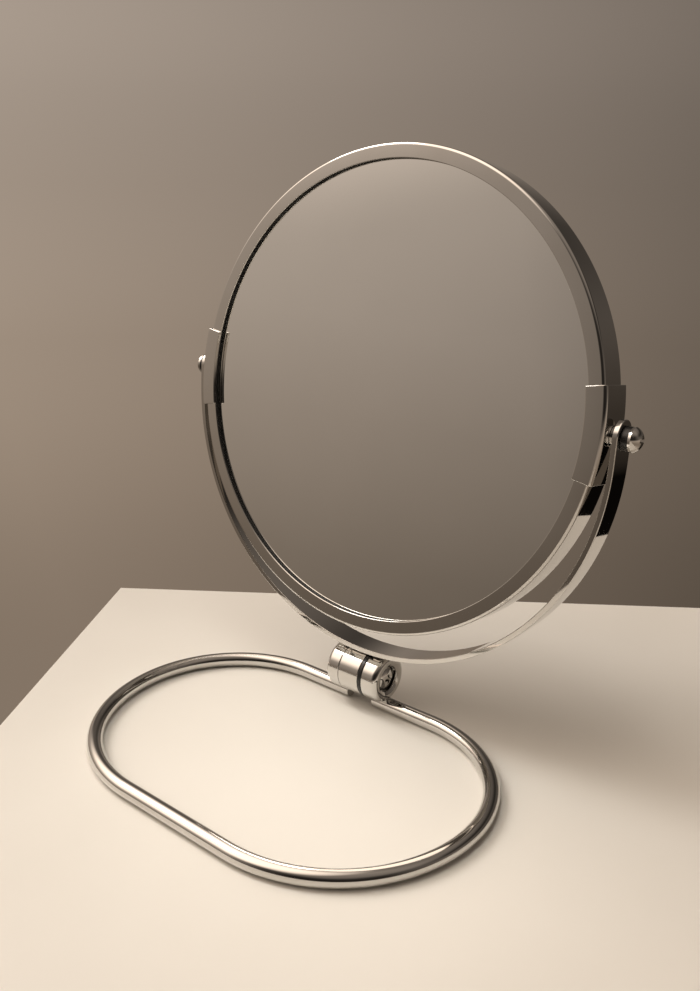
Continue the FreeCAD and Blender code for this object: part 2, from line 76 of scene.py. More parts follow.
# steps in a rounded corner, a full turn and a rod, which a piece may set for itself, then the
# gap in metres that is welded shut and the angle in degrees above which an edge stays sharp
fineness = {"corner": 6, "turn": 128, "rod": 48, "weld": 1e-7, "sharp": 38}
rodReach = 110.0  # how far a rod that cuts the pivot holes goes to each side


# Corners are (across, along, rounding). Returns the outline's points, round corners as arcs.
def outline(corners, steps=fineness["corner"]):
    points = []
    for index, (across, along, rounding) in enumerate(corners):
        here = Vector((across, along))
        if rounding == 0:
            points.append(here)
            continue
        before = (Vector(corners[index - 1][:2]) - here).normalized()
        after = (Vector(corners[(index + 1) % len(corners)][:2]) - here).normalized()
        half = before.angle(after) / 2
        centre = here + (before + after).normalized() * rounding / math.sin(half)
        first = here + before * rounding / math.tan(half) - centre
        last = here + after * rounding / math.tan(half) - centre
        start = math.atan2(first.y, first.x)
        sweep = (math.atan2(last.y, last.x) - start + math.pi) % fullTurn - math.pi
        for step in range(steps + 1):
            angle = start + sweep * step / steps
            points.append(centre + rounding * Vector((math.cos(angle), math.sin(angle))))
    return points


# Joins rings of equally many points into one closed skin.
def skin(rings, looped=False, capped=True):
    shape = bmesh.new()
    made = [[shape.verts.new(Vector(point) * mm) for point in ring] for ring in rings]
    pairs = list(zip(made, made[1:]))
    if looped:
        pairs.append((made[-1], made[0]))
    for ring, following in pairs:
        for i in range(len(ring)):
            after = (i + 1) % len(ring)
            shape.faces.new((ring[i], ring[after], following[after], following[i]))
    if capped and not looped:
        shape.faces.new(list(reversed(made[0])))
        shape.faces.new(made[-1])
    return shape


# Turns a section of (radius, along) points about X or Y. No stretch means a full turn.
def turned(section, axis, steps=fineness["turn"], stretch=None):
    start, end = stretch or (0, fullTurn)
    turns = steps if stretch is None else steps + 1
    rings = []
    for turn in range(turns):
        angle = start + (end - start) * turn / steps
        side, up = math.cos(angle), math.sin(angle)
        if axis == "X":
            rings.append([(along, radius * side, radius * up) for radius, along in section])
        else:
            rings.append([(radius * side, along, radius * up) for radius, along in section])
    return skin(rings, looped=stretch is None)


def meshFrom(shape, name):
    bmesh.ops.remove_doubles(shape, verts=shape.verts, dist=fineness["weld"])
    bmesh.ops.recalc_face_normals(shape, faces=shape.faces)
    mesh = bpy.data.meshes.new(name)
    shape.to_mesh(mesh)
    shape.free()
    return mesh


# Cuts one shape from another, or adds it, and leaves a plain mesh.
def combined(mesh, other, operation):
    base = bpy.data.objects.new("base", mesh)
    tool = bpy.data.objects.new("tool", other)
    for thing in (base, tool):
        bpy.context.scene.collection.objects.link(thing)
    step = base.modifiers.new("combine", "BOOLEAN")
    step.operation = operation
    step.solver = "EXACT"
    step.object = tool
    result = bpy.data.meshes.new_from_object(base.evaluated_get(bpy.context.evaluated_depsgraph_get()))
    for thing in (base, tool):
        bpy.data.objects.remove(thing)
    return result


# A plain round rod along X, for cutting. Its centre is a place along Y and up.
def rod(name, radius, start, end, centre=(0, 0)):
    steps = fineness["rod"]
    rings = []
    for along in (start, end):
        ring = []
        for step in range(steps):
            angle = fullTurn * step / steps
            side, up = centre[0] + radius * math.cos(angle), centre[1] + radius * math.sin(angle)
            ring.append((along, side, up))
        rings.append(ring)
    return meshFrom(skin(rings), name)


# Puts a finished mesh in the scene, on its body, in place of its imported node.
def place(name, mesh, where, body, node, look, sharp=fineness["sharp"]):
    mesh.name = name
    mesh.materials.clear()
    mesh.materials.append(look)
    mesh.shade_smooth()
    mesh.set_sharp_from_angle(angle=math.radians(sharp))
    piece = bpy.data.objects.new(name, mesh)
    bpy.context.scene.collection.objects.link(piece)
    piece.matrix_world = where
    even = piece.modifiers.new("even shading", "WEIGHTED_NORMAL")
    even.keep_sharp = True
    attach(piece, body)
    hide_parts(node)
    return piece


# What all finishes share: where the noise reaches the darker and lighter colour and the lower and
# higher roughness, then how much finer the bump's noise is and how deep it goes, in metres.
noiseSizes = {"detail": 5, "dark": 0.32, "light": 0.68, "smooth": 0.35, "rough": 0.75,
              "bumpFiner": 6, "bumpDetail": 3, "bumpDepth": 0.00005}


# One material with its own noise: colour from dark to light, roughness from low to high, and a
# fine bump, squeezed along the axes where squeeze is over 1.
def makeFinish(name, colours, roughness, metallic, grain, bump, squeeze=(1, 1, 1)):
    material = bpy.data.materials.new(name)
    material.use_nodes = True
    nodes, links = material.node_tree.nodes, material.node_tree.links
    shader = nodes["Principled BSDF"]
    shader.inputs["Metallic"].default_value = metallic
    where = nodes.new("ShaderNodeTexCoord")

    cloud = nodes.new("ShaderNodeTexNoise")
    cloud.inputs["Scale"].default_value = grain
    cloud.inputs["Detail"].default_value = noiseSizes["detail"]
    links.new(where.outputs["Object"], cloud.inputs["Vector"])

    tone = nodes.new("ShaderNodeValToRGB")
    for stop, position, colour in zip(tone.color_ramp.elements, (noiseSizes["dark"], noiseSizes["light"]),
                                      colours):
        stop.position = position
        stop.color = (*colour, 1)
    links.new(cloud.outputs["Fac"], tone.inputs["Fac"])
    links.new(tone.outputs["Color"], shader.inputs["Base Color"])

    rough = nodes.new("ShaderNodeMapRange")
    rough.inputs["From Min"].default_value = noiseSizes["smooth"]
    rough.inputs["From Max"].default_value = noiseSizes["rough"]
    rough.inputs["To Min"].default_value = roughness[0]
    rough.inputs["To Max"].default_value = roughness[1]
    links.new(cloud.outputs["Fac"], rough.inputs["Value"])
    links.new(rough.outputs["Result"], shader.inputs["Roughness"])

    squeezed = nodes.new("ShaderNodeMapping")
    squeezed.inputs["Scale"].default_value = squeeze
    lines = nodes.new("ShaderNodeTexNoise")
    lines.inputs["Scale"].default_value = grain * noiseSizes["bumpFiner"]
    lines.inputs["Detail"].default_value = noiseSizes["bumpDetail"]
    links.new(where.outputs["Object"], squeezed.inputs["Vector"])
    links.new(squeezed.outputs["Vector"], lines.inputs["Vector"])
    relief = nodes.new("ShaderNodeBump")
    relief.inputs["Strength"].default_value = bump
    relief.inputs["Distance"].default_value = noiseSizes["bumpDepth"]
    links.new(lines.outputs["Fac"], relief.inputs["Height"])
    links.new(relief.outputs["Normal"], shader.inputs["Normal"])
    return material


brightChrome = makeFinish("brightChrome", ((0.60, 0.585, 0.56), (0.64, 0.63, 0.61)), (0.03, 0.07),
                          metallic=1, grain=40, bump=0.004, squeeze=(1, 1, 3))
flatSilver = makeFinish("flatSilver", ((0.855, 0.86, 0.85), (0.88, 0.885, 0.875)), (0.012, 0.035),
                        metallic=1, grain=22, bump=0.01, squeeze=(6, 1, 1))
hollowSilver = makeFinish("hollowSilver", ((0.85, 0.86, 0.855), (0.875, 0.885, 0.88)), (0.012, 0.04),
                          metallic=1, grain=26, bump=0.01, squeeze=(1, 1, 6))
sealRubber = makeFinish("sealRubber", ((0.006, 0.006, 0.006), (0.012, 0.012, 0.012)), (0.6, 0.8),
                        metallic=0, grain=180, bump=0.4)
washerNylon = makeFinish("washerNylon", ((0.002, 0.002, 0.002), (0.006, 0.006, 0.006)), (0.22, 0.36),
                         metallic=0, grain=220, bump=0.3)
bareSteel = makeFinish("bareSteel", ((0.42, 0.42, 0.43), (0.58, 0.58, 0.57)), (0.25, 0.42),
                       metallic=1, grain=160, bump=0.4, squeeze=(1, 8, 8))
mouldedCore = makeFinish("mouldedCore", ((0.70, 0.70, 0.67), (0.76, 0.76, 0.74)), (0.45, 0.6),
                         metallic=0, grain=90, bump=0.3)
paleLaminate = makeFinish("paleLaminate", ((0.78, 0.758, 0.705), (0.80, 0.778, 0.725)), (0.42, 0.52),
                          metallic=0, grain=14, bump=0.15)
print("finishes ready")


# The base is one wire, bent round four corners, with its two ends under the hinge.
wireLow, wireHigh = span("base_loop")
wireRadius = (wireHigh.z - wireLow.z) / 2
loopSizes = {"backCorner": 48.5, "frontCorner": 55.5, "endSetback": 0.3, "endBevel": 0.12, "around": 48,
             "cornerSteps": 48}


def buildBaseLoop():
    half = wireHigh.x - wireRadius
    back = wireHigh.y - wireRadius
    front = wireLow.y + wireRadius
    backCorner, frontCorner = loopSizes["backCorner"], loopSizes["frontCorner"]
    leftEnd = span("left_knuckle")[1].x - loopSizes["endSetback"]
    rightEnd = span("right_knuckle")[0].x + loopSizes["endSetback"]
    bevel = loopSizes["endBevel"]
    path = [(leftEnd, back, math.pi, wireRadius - bevel), (leftEnd - bevel, back, math.pi, wireRadius)]
    # each corner's middle, its radius and the angle it starts at, in degrees
    corners = [
        (backCorner - half, back - backCorner, backCorner, 90),
        (frontCorner - half, front + frontCorner, frontCorner, 180),
        (half - frontCorner, front + frontCorner, frontCorner, 270),
        (half - backCorner, back - backCorner, backCorner, 360)]
    steps = loopSizes["cornerSteps"]
    for x, y, radius, degrees in corners:
        for step in range(steps + 1):
            angle = math.radians(degrees + 90 * step / steps)
            path.append((x + radius * math.cos(angle), y + radius * math.sin(angle),
                         angle + quarterTurn, wireRadius))
    path += [(rightEnd + bevel, back, math.pi, wireRadius), (rightEnd, back, math.pi, wireRadius - bevel)]
    rings = []
    for x, y, heading, radius in path:
        sideways = Vector((math.sin(heading), -math.cos(heading), 0))
        ring = []
        for step in range(loopSizes["around"]):
            angle = fullTurn * step / loopSizes["around"]
            ring.append(Vector((x, y, wireRadius)) + sideways * radius * math.cos(angle)
                        + Vector((0, 0, radius * math.sin(angle))))
        rings.append(ring)
    place("baseLoop", meshFrom(skin(rings), "baseLoop"), tablePlace, "base", "base_loop",
          brightChrome)


buildBaseLoop()
print("base loop bent")


# The hinge barrel is three knuckles in a row, with a black ring, a bolt and its washer.
leftLow, leftHigh = span("left_knuckle")
rightLow, rightHigh = span("right_knuckle")
centreLow, centreHigh = span("centre_knuckle")
ringLow, ringHigh = span("friction_ring")
hingeSizes = {
    "barrel": 9.9, "seamEdge": 0.25, "leftRounding": 2.8, "rightRounding": 2.3, "boltHole": 2.6,
    "counterbore": 5.4, "mouthEdge": 0.3, "dish": 6.7, "dishDepth": 0.7, "centreBore": 2.57,
    "seatWidth": 6.0, "seatSteps": 12, "ringEdge": 0.45, "boltShank": 2.5, "headRadius": 4.5,
    "headEdge": 1.2, "headHeight": 2.6, "headRecess": 0.4, "washer": 0.8, "boltReach": 5.0,
    "tipSpace": 0.6, "wireReach": 40.0, "cornerSteps": 10}


# Leaves room for the wire that runs under a knuckle.
def coped(mesh):
    reach = hingeSizes["wireReach"]
    wire = rod("wire", wireRadius, -reach, reach, centre=(0, wireRadius - hingeSpot.z))
    return combined(mesh, wire, "DIFFERENCE")


def buildKnuckles():
    barrel, edge = hingeSizes["barrel"], hingeSizes["seamEdge"]
    blind = leftHigh.x - hingeSizes["boltReach"] - hingeSizes["tipSpace"]
    thread = hingeSizes["boltShank"]
    left = outline([
        (0, leftLow.x, 0), (barrel, leftLow.x, hingeSizes["leftRounding"]), (barrel, leftHigh.x, edge),
        (thread, leftHigh.x, 0), (thread, blind, 0), (0, blind, 0)], hingeSizes["cornerSteps"])
    place("leftKnuckle", coped(meshFrom(turned(left, "X"), "leftKnuckle")), hingePlace, "base",
          "left_knuckle", brightChrome)
    bore, hole, mouth = hingeSizes["counterbore"], hingeSizes["boltHole"], hingeSizes["mouthEdge"]
    end = rightHigh.x
    floor = end - hingeSizes["headRecess"] - hingeSizes["headHeight"] - hingeSizes["washer"]
    right = outline([
        (hole, rightLow.x, 0), (barrel, rightLow.x, edge), (barrel, end, hingeSizes["rightRounding"]),
        (hingeSizes["dish"], end, mouth), (bore, end - hingeSizes["dishDepth"], mouth),
        (bore, floor, 0), (hole, floor, 0)], hingeSizes["cornerSteps"])
    place("rightKnuckle", coped(meshFrom(turned(right, "X"), "rightKnuckle")), hingePlace, "base",
          "right_knuckle", brightChrome)


def buildFrictionRing():
    radius = (ringHigh.z - ringLow.z) / 2
    edge = hingeSizes["ringEdge"]
    hole = hingeSizes["boltHole"]
    section = outline([(hole, ringLow.x, 0), (radius, ringLow.x, edge), (radius, ringHigh.x, edge),
                       (hole, ringHigh.x, 0)])
    place("frictionRing", meshFrom(turned(section, "X"), "frictionRing"), hingePlace, "base",
          "friction_ring", washerNylon)


# The knuckle the yoke stands on, drawn in the yoke's leaning place with its raised seat.
def buildCentreKnuckle(yokeOuter, arcDrop):
    barrel, edge, bore = hingeSizes["barrel"], hingeSizes["seamEdge"], hingeSizes["centreBore"]
    section = outline([(bore, centreLow.x, 0), (barrel, centreLow.x, edge), (barrel, centreHigh.x, edge),
                       (bore, centreHigh.x, 0)])
    body = meshFrom(turned(section, "X"), "centreKnuckle")
    body.transform(Matrix.Translation((0, 0, -rise.length * mm)))
    half, steps = hingeSizes["seatWidth"] / 2, hingeSizes["seatSteps"]
    low = barrel / 2 - rise.length
    rings = []
    for step in range(steps + 1):
        x = centreLow.x + (centreHigh.x - centreLow.x) * step / steps
        top = -arcDrop - math.sqrt(yokeOuter ** 2 - x ** 2)
        rings.append([(x, -half, low), (x, half, low), (x, half, top), (x, -half, top)])
    seat = meshFrom(skin(rings), "seat")
    place("centreKnuckle", combined(body, seat, "UNION"), yokePlace, "yoke", "centre_knuckle",
          brightChrome)


# The bolt and both pivot screws have a domed head with a cross recess. The recess tapers to its
# floor, and its cutter starts a little above the dome and flares by a little.
domeSizes = {"tipEdge": 0.3, "headEdge": 0.25, "domeSteps": 14, "turnSteps": 96, "sharp": 30}
recessSizes = {"slot": 1.4, "depth": 1.5, "share": 0.58, "taper": 0.5, "above": 1.0, "flare": 1.05}


# side is 1 for a head that faces right and -1 for one that faces left
def domedScrew(name, side, tip, headBase, shank, head, height, edge):
    domeRise = height - edge
    domeRadius = (head ** 2 + domeRise ** 2) / (2 * domeRise)
    top = headBase + height
    section = outline([(0, tip, 0), (shank, tip, domeSizes["tipEdge"]), (shank, headBase, 0),
                       (head, headBase, domeSizes["headEdge"])])
    steps = domeSizes["domeSteps"]
    reach = math.asin(head / domeRadius)
    for step in range(steps + 1):
        angle = reach * (1 - step / steps)
        section.append(Vector((domeRadius * math.sin(angle), top - domeRadius * (1 - math.cos(angle)))))
    section = [(radius, side * along) for radius, along in section]
    body = meshFrom(turned(section, "X", domeSizes["turnSteps"]), name)
    slot, share = recessSizes["slot"] / 2, recessSizes["share"] * head
    rings = []
    for depth, scale in ((recessSizes["depth"], recessSizes["taper"]),
                         (-recessSizes["above"], recessSizes["flare"])):
        arm, wide = share * scale, slot * scale
        cross = [(arm, -wide), (arm, wide), (wide, wide), (wide, arm), (-wide, arm), (-wide, wide),
                 (-arm, wide), (-arm, -wide), (-wide, -wide), (-wide, -arm), (wide, -arm), (wide, -wide)]
        rings.append([(side * (top - depth), y, z) for y, z in cross])
    return combined(body, meshFrom(skin(rings), "cross"), "DIFFERENCE")


def buildHingeBolt():
    base = rightHigh.x - hingeSizes["headRecess"] - hingeSizes["headHeight"]
    bolt = domedScrew("hingeBolt", 1, leftHigh.x - hingeSizes["boltReach"], base, hingeSizes["boltShank"],
                      hingeSizes["headRadius"], hingeSizes["headHeight"], hingeSizes["headEdge"])
    place("hingeBolt", bolt, hingePlace, "base", "hinge_bolt", brightChrome,
          domeSizes["sharp"])


buildKnuckles()
buildFrictionRing()
buildHingeBolt()
print("hinge built")


# The yoke is one flat band, bent round the head, with a round end at each pivot.
yokeSizes = {"thickness": 2.0, "width": 11.1, "arcDrop": 8.1, "armTop": 6.0, "edge": 0.3, "hole": 2.07,
             "endSteps": 16, "runSteps": 160, "edgeSteps": 5}
yokeOuter = span("yoke_band")[1].x


def buildYoke():
    halfWidth, halfThick = yokeSizes["width"] / 2, yokeSizes["thickness"] / 2
    middle = yokeOuter - halfThick
    shoulder = yokeSizes["armTop"] - halfWidth
    straight = shoulder + yokeSizes["arcDrop"]
    whole = 2 * straight + math.pi * middle
    endSteps, runSteps, edgeSteps = (yokeSizes[word] for word in ("endSteps", "runSteps", "edgeSteps"))

    # a place along the band, across it and through it, bent round the head
    def bent(along, across, through):
        if along < straight:
            return (-middle - through, across, shoulder - along)
        if along > straight + math.pi * middle:
            return (middle + through, across, shoulder - (whole - along))
        angle = math.pi + (along - straight) / middle
        radius = middle + through
        return (radius * math.cos(angle), across, radius * math.sin(angle) - yokeSizes["arcDrop"])

    # half the band's outline, set in by a little: one round end, the long run, the other end
    def halfOutline(inset):
        radius = halfWidth - inset
        points = []
        for step in range(endSteps + 1):
            angle = quarterTurn * step / endSteps
            points.append((-radius * math.cos(angle), radius * math.sin(angle)))
        for step in range(1, runSteps):
            points.append((whole * step / runSteps, radius))
        for step in range(endSteps + 1):
            angle = quarterTurn * (1 - step / endSteps)
            points.append((whole + radius * math.cos(angle), radius * math.sin(angle)))
        return points

    edge = yokeSizes["edge"]
    levels = []
    for step in range(edgeSteps + 1):
        angle = quarterTurn * (1 - step / edgeSteps)
        levels.append((edge * (1 - math.cos(angle)), edge * (1 - math.sin(angle)) - halfThick))
    levels += [(inset, -through) for inset, through in reversed(levels)]
    rings = []
    for inset, through in levels:
        upper = halfOutline(inset)
        lower = [(along, -across) for along, across in reversed(upper[1:-1])]
        rings.append([bent(along, across, through) for along, across in upper + lower])

    # both faces are filled with strips across the band, so that they bend with it
    shape = skin(rings, capped=False)
    shape.verts.ensure_lookup_table()
    count = len(rings[0])
    for start in (0, count * (len(rings) - 1)):
        for i in range(count // 2):
            corners = [start + i, start + i + 1, start + (count - i - 1) % count, start + (count - i) % count]
            corners = list(dict.fromkeys(corners))
            shape.faces.new([shape.verts[corner] for corner in corners])
    band = meshFrom(shape, "yokeBand")
    band = combined(band, rod("pivots", yokeSizes["hole"], -rodReach, rodReach), "DIFFERENCE")
    place("yokeBand", band, yokePlace, "yoke", "yoke_band", brightChrome)


buildYoke()
buildCentreKnuckle(yokeOuter, yokeSizes["arcDrop"])
print("yoke bent")


# The head is a rolled channel whose lips hold a flat glass in front and a hollow one behind.
rimRadius = span("rim_hoop")[1].x
rimSizes = {"halfDepth": 6.75, "sheet": 0.6, "corner": 1.1, "lip": 5.5, "lipEdge": 0.2, "joint": 8.0,
            "gap": 0.4, "hole": 2.1, "cornerSteps": 8, "turnSteps": 320}
glassSizes = {"thickness": 2.0, "edge": 0.25, "hollow": 1000.0, "hollowSteps": 24, "cornerSteps": 4,
              "turnSteps": 192}
sealSizes = {"thickness": 1.2, "setback": 0.3, "edge": 0.2, "cornerSteps": 3, "turnSteps": 192}
lipRadius = rimRadius - rimSizes["lip"]
glassRadius = span("front_glass")[1].x
lipBack = rimSizes["halfDepth"] - rimSizes["sheet"]
glassSeat = lipBack - sealSizes["thickness"]


def buildRim():
    face, sheet, corner, edge = (rimSizes[word] for word in ("halfDepth", "sheet", "corner", "lipEdge"))
    inner = rimRadius - sheet
    section = outline([
        (lipRadius, -face, edge), (rimRadius, -face, corner), (rimRadius, face, corner),
        (lipRadius, face, edge), (lipRadius, lipBack, edge), (inner, lipBack, corner - sheet),
        (inner, -lipBack, corner - sheet), (lipRadius, -lipBack, edge)], rimSizes["cornerSteps"])
    low = math.asin(rimSizes["joint"] / rimRadius)
    high = math.asin((rimSizes["joint"] + rimSizes["gap"]) / rimRadius)
    hoop = meshFrom(turned(section, "Y", rimSizes["turnSteps"], (high, fullTurn + low)), "rimHoop")
    hoop = combined(hoop, rod("pivots", rimSizes["hole"], -rodReach, rodReach), "DIFFERENCE")
    place("rimHoop", hoop, headPlace, "head", "rim_hoop", brightChrome)


def buildGlasses():
    thick, edge, turnSteps = glassSizes["thickness"], glassSizes["edge"], glassSizes["turnSteps"]
    flat = outline([(0, -glassSeat, 0), (glassRadius, -glassSeat, edge),
                    (glassRadius, thick - glassSeat, edge), (0, thick - glassSeat, 0)],
                   glassSizes["cornerSteps"])
    place("frontGlass", meshFrom(turned(flat, "Y", turnSteps), "frontGlass"), headPlace, "head",
          "front_glass", flatSilver)
    hollow, steps = glassSizes["hollow"], glassSizes["hollowSteps"]
    centre = glassSeat - (hollow - math.sqrt(hollow ** 2 - glassRadius ** 2)) + hollow
    section = []
    for step in range(steps + 1):
        radius = glassRadius * step / steps
        section.append((radius, centre - math.sqrt((hollow + thick) ** 2 - radius ** 2)))
    for step in range(steps + 1):
        radius = glassRadius * (1 - step / steps)
        section.append((radius, centre - math.sqrt(hollow ** 2 - radius ** 2)))
    place("rearGlass", meshFrom(turned(section, "Y", turnSteps), "rearGlass"), headPlace, "head",
          "rear_glass", hollowSilver)


def buildSeals():
    inner = lipRadius + sealSizes["setback"]
    edge = sealSizes["edge"]
    for name, node, start, end in (("frontSeal", "front_seal", -lipBack, -glassSeat),
                                   ("rearSeal", "rear_seal", glassSeat, lipBack)):
        section = outline([(inner, start, edge), (glassRadius, start, edge), (glassRadius, end, edge),
                           (inner, end, edge)], sealSizes["cornerSteps"])
        place(name, meshFrom(turned(section, "Y", sealSizes["turnSteps"]), name), headPlace, "head", node,
              sealRubber)


buildRim()
buildGlasses()
buildSeals()
print("head built")


# Each pivot is a saddle clip over the rim, a bright spacer, the yoke's arm, a black washer and a screw.
clipOuter = span("right_clip")[1].x
clipSizes = {"wall": 1.25, "clearance": 0.05, "arc": math.radians(20.5), "corner": 1.3, "lipReach": 0.5,
             "lipEdge": 0.3, "lipTaper": 0.6, "endEdge": 0.2, "endSteps": 4, "arcSteps": 24,
             "cornerSteps": 6, "hole": 2.1, "holeStart": 60.0}
screwSizes = {"shank": 2.0, "head": 4.2, "height": 3.4, "edge": 0.7, "hole": 2.1, "washer": 4.1,
              "washerEdge": 0.35, "spacer": 3.6, "spacerEdge": 0.25, "turnSteps": 96}


def buildClip(word, side):
    wall, corner, endEdge = clipSizes["wall"], clipSizes["corner"], clipSizes["endEdge"]
    endSteps, arcSteps = clipSizes["endSteps"], clipSizes["arcSteps"]
    seat = rimSizes["halfDepth"] + clipSizes["clearance"]
    face = seat + wall
    edgeRadius = lipRadius - clipSizes["lipReach"]
    inner = rimRadius + clipSizes["clearance"]

    # the clip's U shape, set in by a little towards its ends
    def clipSection(inset):
        small = clipSizes["lipEdge"] - inset * clipSizes["lipTaper"]
        return outline([
            (edgeRadius + inset, inset - face, small), (clipOuter - inset, inset - face, corner - inset),
            (clipOuter - inset, face - inset, corner - inset), (edgeRadius + inset, face - inset, small),
            (edgeRadius + inset, seat + inset, small), (inner + inset, seat + inset, 0),
            (inner + inset, -seat - inset, 0), (edgeRadius + inset, -seat - inset, small)],
            clipSizes["cornerSteps"])

    half = clipSizes["arc"] / 2
    marks = [(-half + endEdge / clipOuter * (1 - math.cos(quarterTurn * step / endSteps)),
              endEdge * (1 - math.sin(quarterTurn * step / endSteps))) for step in range(endSteps + 1)]
    marks += [(-half + clipSizes["arc"] * step / arcSteps, 0) for step in range(1, arcSteps)]
    marks += [(-angle, inset) for angle, inset in reversed(marks[:endSteps + 1])]
    rings = []
    for angle, inset in marks:
        rings.append([(side * radius * math.cos(angle), along, radius * math.sin(angle))
                      for radius, along in clipSection(inset)])
    clip = meshFrom(skin(rings), f"{word}Clip")
    hole = rod("hole", clipSizes["hole"], clipSizes["holeStart"] * side, rodReach * side)
    place(f"{word}Clip", combined(clip, hole, "DIFFERENCE"), headPlace, "head", f"{word}_clip",
          brightChrome)


# A flat ring about X with rounded edges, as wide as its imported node.
def buildRing(name, node, radius, edge, look):
    low, high = span(node)
    section = outline([(screwSizes["hole"], low.x, 0), (radius, low.x, edge), (radius, high.x, edge),
                       (screwSizes["hole"], high.x, 0)])
    place(name, meshFrom(turned(section, "X", screwSizes["turnSteps"]), name), headPlace, "head", node,
          look)


def buildPivot(word, side):
    buildClip(word, side)
    buildRing(f"{word}Spacer", f"{word}_spacer", screwSizes["spacer"], screwSizes["spacerEdge"],
              brightChrome)
    buildRing(f"{word}TensionWasher", f"{word}_tension_washer", screwSizes["washer"],
              screwSizes["washerEdge"], washerNylon)
    low, high = span(f"{word}_pivot_screw")
    ends = sorted((abs(low.x), abs(high.x)))
    screw = domedScrew(f"{word}PivotScrew", side, ends[0], ends[1] - screwSizes["height"],
                       screwSizes["shank"], screwSizes["head"], screwSizes["height"], screwSizes["edge"])
    place(f"{word}PivotScrew", screw, headPlace, "head", f"{word}_pivot_screw",
          brightChrome, domeSizes["sharp"])


for word, side in (("left", -1), ("right", 1)):
    buildPivot(word, side)
print("pivots built")

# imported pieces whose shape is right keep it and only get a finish
keptNodes = {"core_disc": mouldedCore, "left_pivot_nut": bareSteel, "right_pivot_nut": bareSteel,
             "seam_washer": bareSteel, "spring_washer": bareSteel}
for node, look in keptNodes.items():
    for slot in frame["nodes"][node].material_slots:
        slot.material = look


# The table is a pale slab: one corner, the two directions its edges run in, and its lengths.
tableSizes = {"corner": (-172.3, 60.4), "backEdge": (0.813, 0.582), "leftEdge": (0.53, -0.848),
              "wide": 341.0, "long": 1100.0, "thick": 28.0, "edge": 1.0, "edgeBow": 0.3}


def buildTable():
    corner = Vector((*tableSizes["corner"], 0))
    backEdge = Vector((*tableSizes["backEdge"], 0)) * tableSizes["wide"]
    leftEdge = Vector((*tableSizes["leftEdge"], 0)) * tableSizes["long"]
    outer = [corner, corner + backEdge, corner + backEdge + leftEdge, corner + leftEdge]
    middle = sum(outer, Vector()) / 4
    edge = tableSizes["edge"]
    bow = tableSizes["edgeBow"] * edge
    rings = []
    for inset, depth in ((edge, 0), (bow, bow), (0, edge), (0, tableSizes["thick"])):
        ring = []
        for point in outer:
            inward = (middle - point).normalized() * inset
            ring.append(point + inward - Vector((0, 0, depth)))
        rings.append(ring)
    table = bpy.data.objects.new("paleTable", meshFrom(skin(rings), "paleTable"))
    bpy.context.scene.collection.objects.link(table)
    table.data.materials.append(paleLaminate)


# The room is light by direction only. Its colour goes by height, from straight down at -1 to
# straight up at 1, and is warmer where it is darker than "neutral".
roomSizes = {
    "heights": [(-1.0, 0.40), (-0.70, 0.20), (-0.43, 0.09), (-0.15, 0.205), (0.0, 0.30), (0.1, 0.36),
                (0.27, 0.45), (0.55, 0.62), (1.0, 0.62)],
    "neutral": 0.4, "green": (0.73, 0.10), "blue": (0.50, 0.19),
    "dimSide": (0.6, -0.74, 0.31), "glowSide": (-0.53, -0.26, 0.79)}

# Its strength goes by how far a direction points to the right, to the back, up, or to the dim or
# glowing side: between the first two numbers of a row it changes from the third to the fourth.
roomLight = {
    "left": (-0.9, -0.1, 1.40, 0.35), "farRight": (0.55, 0.95, 0, 0.2), "back": (-0.8, 0.8, 1.0, 0.74),
    "wallLow": (0.1, -0.32, 0, 0.92), "wallLowBack": (0, 0.5, 0, 1), "wallLowLeft": (-0.25, 0.1, 1, 0),
    "wallHigh": (0.12, 0.44, 0, -0.8), "wallHighBack": (0, 0.35, 0, 1),
    "gapRight": (-0.1, 0.12, 0, 1), "gapLow": (-0.24, -0.31, 0, -0.9), "gapBack": (0.6, 0.76, 0, 1),
    "frontLow": (0.12, -0.12, 0, 1.7), "frontRight": (-0.35, 0.05, 0, 1), "frontFar": (0.72, 0.5, 0, 1),
    "dim": (0.40, 0.90, 1.0, 0.14), "glow": (0.68, 0.94, 0, 2.6), "overhead": (0.42, 0.8, 0, 0.3)}


